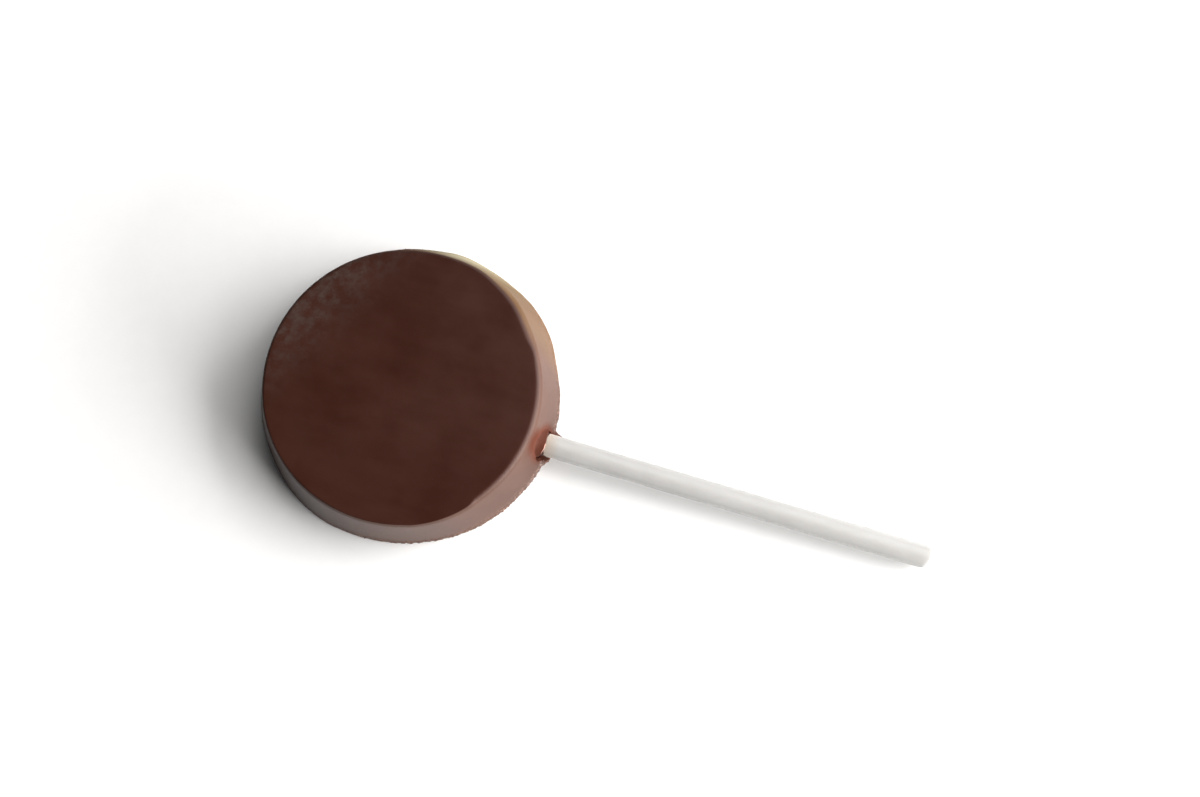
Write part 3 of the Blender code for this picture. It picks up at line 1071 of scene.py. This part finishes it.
# Loose crumbs on the poured edge
crumbs = {
    "perSquareMetre": 3.2e6,
    "smallest": 0.035 * mm,
    "largest": 0.11 * mm,
    "reach": 1.5 * mm,
    "insideShare": 0.97,
    "spread": (0.35, 0.95),
    "least": 0.16,
    "mostTurn": 6.28,
    "seed": 11,
    "paleSize": 0.9 * mm,
    "grainSize": 0.06 * mm,
    "bumpDepth": 0.01 * mm,
    "roughness": 0.6,
}
rimCrumbs = growMesh(
    "rim_crumbs",
    crumbTree(crumbs),
    {
        "Crumbs Per Square Metre": crumbs["perSquareMetre"],
        "Smallest": crumbs["smallest"],
        "Largest": crumbs["largest"],
        "Reach": crumbs["reach"],
        "Inside Edge": baseRadius * crumbs["insideShare"],
        "Crumb Side": disc["crumbSide"],
        "Seed": crumbs["seed"],
        "Material": crumbFinish(crumbs),
    },
    chocolate.data.copy(),
)
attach(rimCrumbs, "root")
print("crumbs made")

# Paper stick
stick = {
    "columns": 130,
    "rows": 180,
    "rowShares": (0.5, 0.66, 1.0),
    "bandInside": 0.15 * mm,
    "bandOutside": 1.2 * mm,
    "sharpBend": math.radians(50),
    "endRounding": 0.28 * mm,
    "innerRounding": 0.2 * mm,
    "paperThickness": 0.13 * mm,
    "seamSide": math.radians(-35),
    "grooveDepth": 0.05 * mm,
    "grooveEdges": (0.3, 0.5),
    "grooveFrom": (0.1 * mm, 0.3 * mm),
    "endSkin": 0.05 * mm,
    "dentDepth": 0.05 * mm,
    "dentSize": 2.6 * mm,
    "dentStretch": 0.35,
    "frayedDepth": 0.12 * mm,
    "fraySize": 0.7 * mm,
    "frayLength": 0.9 * mm,
    "frayInside": 0.7,
    "nearSnip": 0.9 * mm,
    "farSnip": 0.4 * mm,
    "snipLength": 3.0 * mm,
    "seed": 5.0,
}
stickTilt = math.atan(stickFall)
paperStick = growMesh(
    "paper_stick_rolled",
    stickTree(stick),
    {
        "Base Radius": stickRadius,
        "Top Radius": stickRadius,
        "Height": stickLength / math.cos(stickTilt),
        "Top Rounding": stick["endRounding"],
        "Base Rounding": stick["innerRounding"],
        "Columns": stick["columns"],
        "Rows": stick["rows"],
        "Paper Thickness": stick["paperThickness"],
        "Seam Side": stick["seamSide"],
        "Groove Depth": stick["grooveDepth"],
        "Dent Depth": stick["dentDepth"],
        "Frayed Depth": stick["frayedDepth"],
        "Near Snip": stick["nearSnip"],
        "Far Snip": stick["farSnip"],
        "Inner End": (stickLow.x, stickSideStep, stickInnerHeight),
        "Tilt": (0.0, math.pi / 2 + stickTilt, 0.0),
        "Seed": stick["seed"],
        "Material": paperFinish(paperLook),
    },
)
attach(paperStick, "root")
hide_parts("paper_stick")
print("stick made")

# Table
table = {
    "half": 3.0,
    "drop": 0.02 * mm,
    "dark": (0.895, 0.895, 0.89, 1.0),
    "light": (0.935, 0.935, 0.93, 1.0),
    "toneSize": 3.0 * mm,
    "grainSize": 0.5 * mm,
    "bumpStrength": 0.2,
    "bumpDepth": 0.02 * mm,
    "roughness": 0.8,
    "shine": 0.2,
}


def tableFinish(look):
    material, tree, shader, coords = startFinish("pale table")
    tone = noise(tree, coords, look["toneSize"], 1.0, 4.0, 0.6)
    tree.links.new(mixColour(tree, tone, look["dark"], look["light"]), shader.inputs["Base Color"])
    shader.inputs["Roughness"].default_value = look["roughness"]
    shader.inputs["Specular IOR Level"].default_value = look["shine"]
    grain = noise(tree, coords, look["grainSize"], 2.0, 3.0, 0.6)
    addBump(tree, shader, grain, look["bumpStrength"], look["bumpDepth"])
    return material


floorMesh = bpy.data.meshes.new("table")
half = table["half"]
floorMesh.from_pydata(
    [(-half, -half, 0.0), (half, -half, 0.0), (half, half, 0.0), (-half, half, 0.0)], [], [(0, 1, 2, 3)]
)
floorMesh.materials.append(tableFinish(table))
floor = bpy.data.objects.new("table", floorMesh)
floor.location.z = -table["drop"]
bpy.context.scene.collection.objects.link(floor)

# Light: broad soft panels on the side the stick points to, mostly low, in a dim room, their places
# and widths in degrees as seen from the disc
light = {
    "distance": 0.7,
    "colour": (1.0, 0.99, 0.98),
    "room": (0.03, 0.03, 0.03, 1.0),
    "panels": {
        "window": {"side": 30, "height": 25, "halfWidth": 26, "halfTall": 14, "watts": 6.8},
        "skylight": {"side": 60, "height": 48, "halfWidth": 30, "halfTall": 18, "watts": 3.3},
        "lowWindow": {"side": 20, "height": 9, "halfWidth": 20, "halfTall": 6, "watts": 4.6},
        "nearWall": {"side": -16, "height": 9, "halfWidth": 15, "halfTall": 6, "watts": 9.9},
        "farWall": {"side": 60, "height": 9, "halfWidth": 20, "halfTall": 6, "watts": 0.8},
        "fill": {"side": -10, "height": 25, "halfWidth": 20, "halfTall": 9, "watts": 1.1},
    },
}


def panelWidth(halfAngle):
    return 2 * light["distance"] * math.tan(math.radians(halfAngle))


def hangPanel(name, settings):
    side, height = math.radians(settings["side"]), math.radians(settings["height"])
    panel = bpy.data.lights.new(name, "AREA")
    panel.shape = "RECTANGLE"
    panel.size = panelWidth(settings["halfWidth"])
    panel.size_y = panelWidth(settings["halfTall"])
    panel.energy = settings["watts"]
    panel.color = light["colour"]
    direction = Vector(
        (math.cos(side) * math.cos(height), math.sin(side) * math.cos(height), math.sin(height))
    )
    lamp = bpy.data.objects.new(name, panel)
    lamp.location = direction * light["distance"]
    lamp.rotation_euler = (-direction).to_track_quat("-Z", "Y").to_euler()
    bpy.context.scene.collection.objects.link(lamp)


for panelName, panelSettings in light["panels"].items():
    hangPanel(panelName, panelSettings)

world = bpy.data.worlds.new("room")
bpy.context.scene.world = world
world.use_nodes = True
world.node_tree.nodes["Background"].inputs["Color"].default_value = light["room"]
bpy.context.scene.view_settings.view_transform = "Standard"

# Camera
view = {
    "place": Vector((44.74, -22.98, 196.38)) * mm,
    "target": Vector((30.61, 8.12, 0.0)) * mm,
    "roll": math.radians(16.648),
    "lens": 36.0,
    "sensor": 36.0,
    "clip": (0.005, 20.0),
}
cameraData = bpy.data.cameras.new("camera")
cameraData.lens = view["lens"]
cameraData.sensor_width = view["sensor"]
cameraData.clip_start, cameraData.clip_end = view["clip"]
camera = bpy.data.objects.new("camera", cameraData)
forward = (view["target"] - view["place"]).normalized()
upHint = Vector((-math.sin(view["roll"]), math.cos(view["roll"]), 0.0))
right = forward.cross(upHint).normalized()
up = right.cross(forward)
aim = Matrix((right, up, -forward)).transposed().to_4x4()
camera.matrix_world = Matrix.Translation(view["place"]) @ aim
bpy.context.scene.collection.objects.link(camera)
bpy.context.scene.camera = camera
print("stage set")
